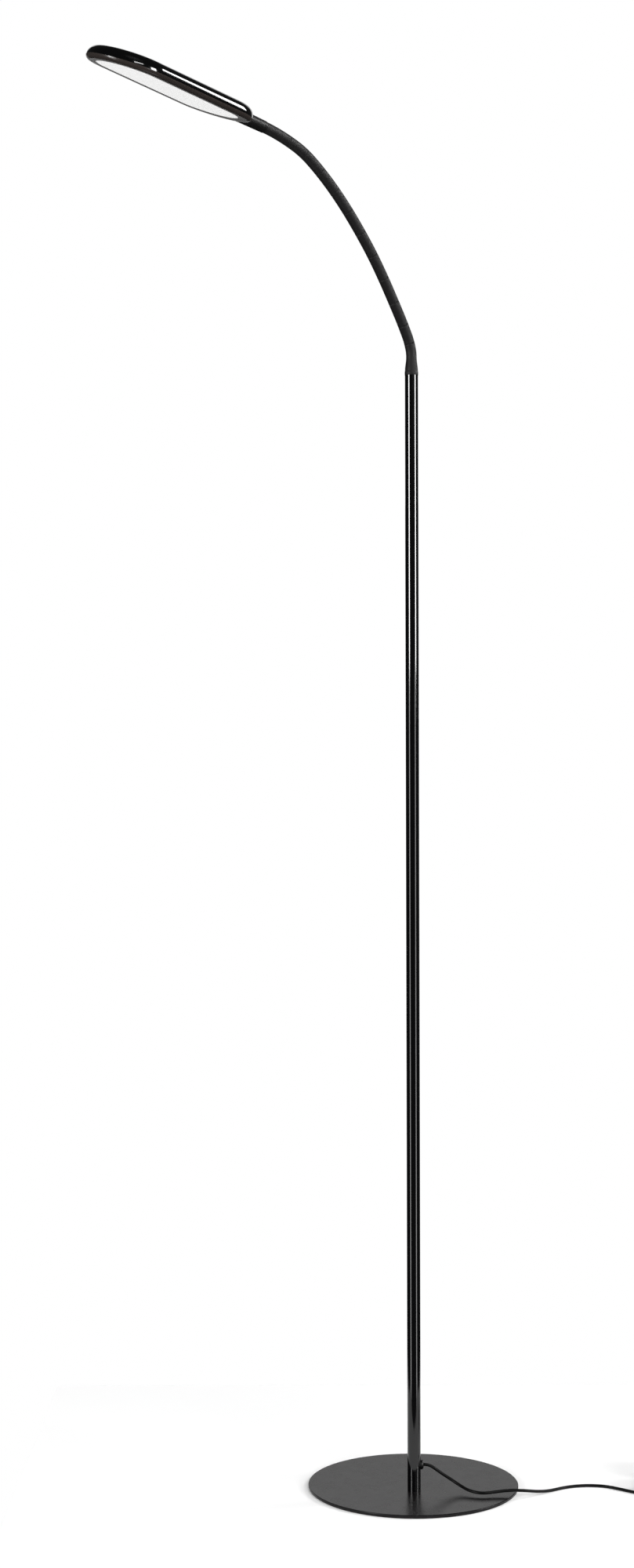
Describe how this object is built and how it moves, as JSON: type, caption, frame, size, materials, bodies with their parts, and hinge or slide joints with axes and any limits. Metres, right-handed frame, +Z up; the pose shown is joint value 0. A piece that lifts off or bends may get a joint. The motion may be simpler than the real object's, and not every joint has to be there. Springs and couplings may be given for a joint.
{
  "type": "gooseneck floor lamp",
  "caption": "Tall reading floor lamp: round flat base, slim pole, sleeved gooseneck and an oval flat light head, with a power cord and a plug-in adapter.",
  "frame": {"origin": "centre of the round base on the floor", "axes": "+Z up along the pole, -Y towards the viewer of the picture, +X to that viewer's right; the gooseneck leans to -X and -Y"},
  "size_m": [0.6987, 0.6091, 1.6305],
  "materials": {
    "base_paint": "satin dark powder coat",
    "base_foam": "matte foam",
    "pole_gloss": "gloss black paint",
    "fitting_steel": "bright turned",
    "core_steel": "wound wire",
    "sleeve_rubber": "soft matte",
    "boot_rubber": "satin",
    "grommet_rubber": "satin",
    "shell_gloss": "gloss black",
    "bezel_plastic": "satin black",
    "diffuser_white": "translucent white",
    "reflector_white": "matte white",
    "board_white": "white solder mask",
    "led_yellow": "phosphor",
    "board_green": "solder mask",
    "cord_pvc": "satin",
    "adapter_plastic": "fine texture",
    "blade_nickel": "nickel plated"
  },
  "bodies": {
    "stand": {"adapter_base": "adapter_plastic", "adapter_blades": "blade_nickel", "adapter_board": "board_green", "adapter_cover": "adapter_plastic", "adapter_relief": "cord_pvc", "base_pad": "base_foam", "base_plate": "base_paint", "cable_grommet": "grommet_rubber", "cord_coil": "cord_pvc", "cord_run": "cord_pvc", "core_00": "core_steel", "coupler_1_nut": "fitting_steel", "coupler_1_stud": "fitting_steel", "coupler_2_nut": "fitting_steel", "coupler_2_stud": "fitting_steel", "foot_screw": "fitting_steel", "neck_plug": "fitting_steel", "pole_foot": "fitting_steel", "pole_lead": "cord_pvc", "pole_lower": "pole_gloss", "pole_middle": "pole_gloss", "pole_upper": "pole_gloss", "sleeve_00": "sleeve_rubber"},
    "link_01": {"sleeve_01": "sleeve_rubber", "core_01": "core_steel"},
    "link_02": {"sleeve_02": "sleeve_rubber", "core_02": "core_steel"},
    "link_03": {"sleeve_03": "sleeve_rubber", "core_03": "core_steel"},
    "link_04": {"sleeve_04": "sleeve_rubber", "core_04": "core_steel"},
    "link_05": {"sleeve_05": "sleeve_rubber", "core_05": "core_steel"},
    "link_06": {"sleeve_06": "sleeve_rubber", "core_06": "core_steel"},
    "link_07": {"sleeve_07": "sleeve_rubber", "core_07": "core_steel"},
    "link_08": {"sleeve_08": "sleeve_rubber", "core_08": "core_steel"},
    "link_09": {"sleeve_09": "sleeve_rubber", "core_09": "core_steel"},
    "link_10": {"sleeve_10": "sleeve_rubber", "core_10": "core_steel"},
    "link_11": {"sleeve_11": "sleeve_rubber", "core_11": "core_steel"},
    "head": {"sleeve_12": "sleeve_rubber", "core_12": "core_steel", "neck_boot": "boot_rubber", "neck_socket": "fitting_steel", "head_shell": "shell_gloss", "head_bezel": "bezel_plastic", "diffuser": "diffuser_white", "reflector": "reflector_white", "light_board": "board_white", "leds": "led_yellow", "head_screws": "fitting_steel", "touch_board": "board_green", "head_lead": "cord_pvc"}
  },
  "joints": [
    {"name": "neck_bend_1", "type": "hinge", "parent": "stand", "child": "link_01", "pos_m": [-0.00068, -0.0289, 1.37239], "axis": [0.7986, -0.6018, 0], "range_deg": [-31.25, 10.25]},
    {"name": "neck_bend_2", "type": "hinge", "parent": "link_01", "child": "link_02", "pos_m": [-0.00525, -0.03497, 1.38863], "axis": [0.7986, -0.6018, 0], "range_deg": [-31.25, 10.25]},
    {"name": "neck_side_1", "type": "hinge", "parent": "link_02", "child": "link_03", "pos_m": [-0.01591, -0.04912, 1.41283], "axis": [0.4716, 0.6259, 0.6211], "range_deg": [-15, 15]},
    {"name": "neck_bend_3", "type": "hinge", "parent": "link_03", "child": "link_04", "pos_m": [-0.02838, -0.06567, 1.43851], "axis": [0.7986, -0.6018, 0], "range_deg": [-31.25, 10.25]},
    {"name": "neck_bend_4", "type": "hinge", "parent": "link_04", "child": "link_05", "pos_m": [-0.04137, -0.0829, 1.46347], "axis": [0.7986, -0.6018, 0], "range_deg": [-31.25, 10.25]},
    {"name": "neck_side_2", "type": "hinge", "parent": "link_05", "child": "link_06", "pos_m": [-0.05529, -0.10137, 1.487], "axis": [0.4127, 0.5477, 0.7278], "range_deg": [-15, 15]},
    {"name": "neck_bend_5", "type": "hinge", "parent": "link_06", "child": "link_07", "pos_m": [-0.07005, -0.12096, 1.50908], "axis": [0.7986, -0.6018, 0], "range_deg": [-31.25, 10.25]},
    {"name": "neck_bend_6", "type": "hinge", "parent": "link_07", "child": "link_08", "pos_m": [-0.08553, -0.14151, 1.52974], "axis": [0.7986, -0.6018, 0], "range_deg": [-31.25, 10.25]},
    {"name": "neck_side_3", "type": "hinge", "parent": "link_08", "child": "link_09", "pos_m": [-0.10189, -0.16321, 1.54845], "axis": [0.3216, 0.4268, 0.8453], "range_deg": [-15, 15]},
    {"name": "neck_bend_7", "type": "hinge", "parent": "link_09", "child": "link_10", "pos_m": [-0.11911, -0.18606, 1.56486], "axis": [0.7986, -0.6018, 0], "range_deg": [-31.25, 10.25]},
    {"name": "neck_bend_8", "type": "hinge", "parent": "link_10", "child": "link_11", "pos_m": [-0.13757, -0.21056, 1.57686], "axis": [0.7986, -0.6018, 0], "range_deg": [-31.25, 10.25]},
    {"name": "neck_side_4", "type": "hinge", "parent": "link_11", "child": "head", "pos_m": [-0.15634, -0.23546, 1.584], "axis": [0.1097, 0.1455, 0.9833], "range_deg": [-15, 15]}
  ]
}
